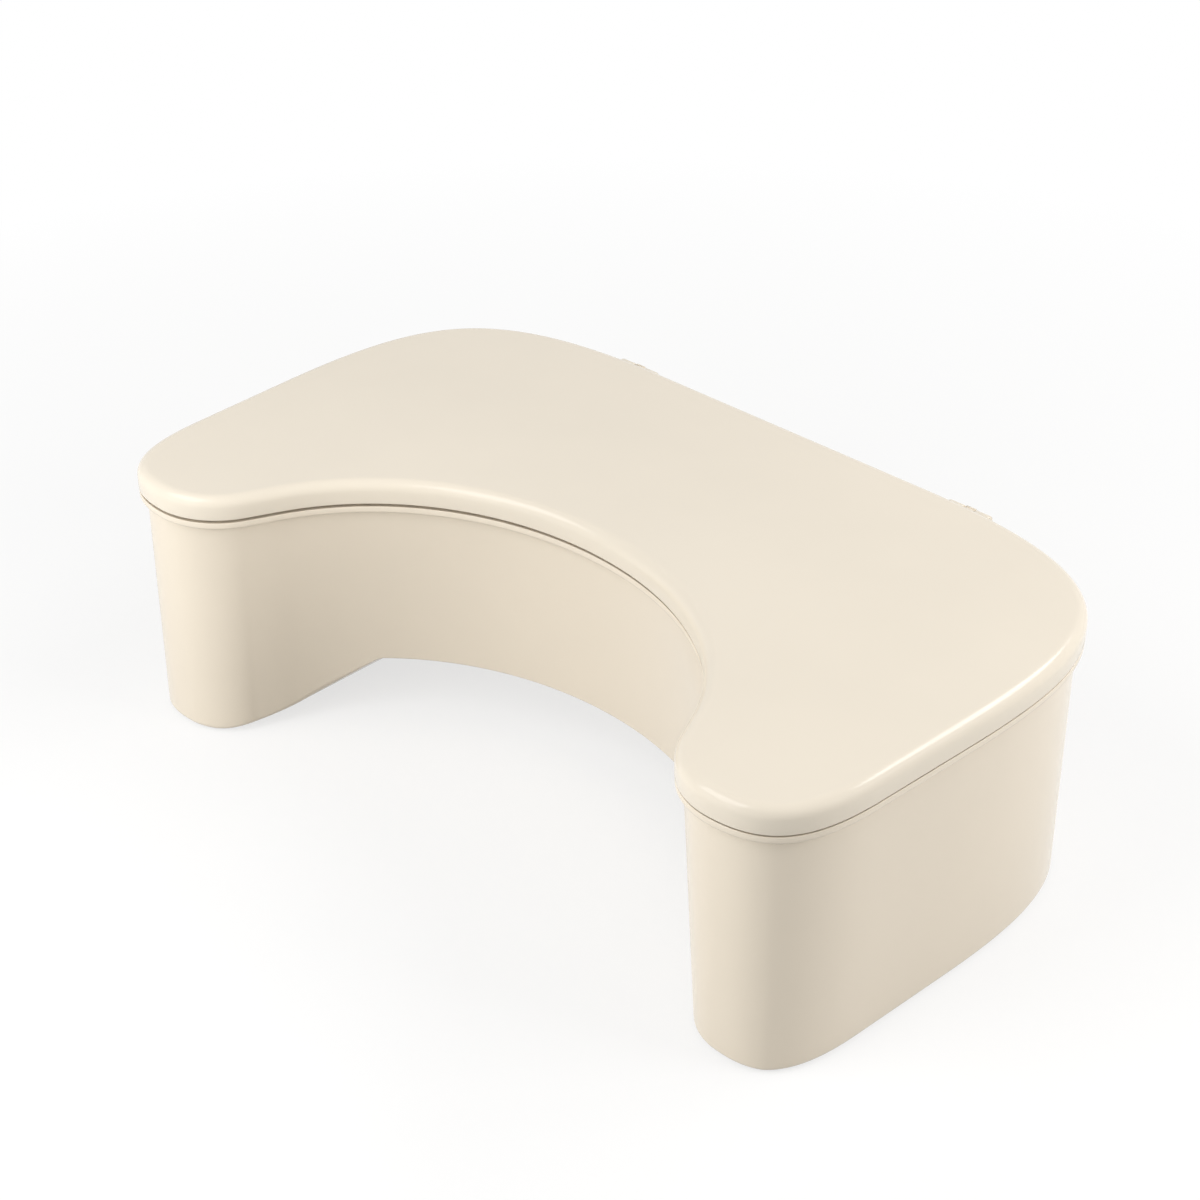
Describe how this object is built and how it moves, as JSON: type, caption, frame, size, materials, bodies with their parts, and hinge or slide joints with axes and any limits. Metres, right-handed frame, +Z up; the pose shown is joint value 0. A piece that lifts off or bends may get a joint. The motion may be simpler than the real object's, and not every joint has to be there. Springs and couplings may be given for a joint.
{
  "type": "bathroom footstool",
  "caption": "Moulded plastic toilet footstool: a storage tub with a curved notch for the toilet's foot, raised between its own feet, under a rear-hinged step lid.",
  "frame": {"origin": "on the floor below the middle of the stool's box", "axes": "+X along the stool's length, +Y from the notch towards the hinged back edge, +Z up; the feet point towards -Y"},
  "size_m": [0.451, 0.2668, 0.142],
  "materials": {
    "tub_plastic": "satin gloss moulded plastic, ivory",
    "lid_plastic": "satin gloss moulded plastic, ivory",
    "pin_steel": "drawn steel wire with chamfered ends",
    "pad_rubber": "matt soft rubber, pale grey"
  },
  "bodies": {
    "base": {"storage_tub": "tub_plastic", "hinge_pin_left": "pin_steel", "hinge_pin_right": "pin_steel", "anti_slip_pad_front_left": "pad_rubber", "anti_slip_pad_front_right": "pad_rubber", "anti_slip_pad_back_left": "pad_rubber", "anti_slip_pad_back_right": "pad_rubber"},
    "lid": {"lid": "lid_plastic"}
  },
  "joints": [
    {"name": "lid_hinge", "type": "hinge", "parent": "base", "child": "lid", "pos_m": [0, 0.1302, 0.1338], "axis": [-1, 0, 0], "range_deg": [0, 105]}
  ]
}
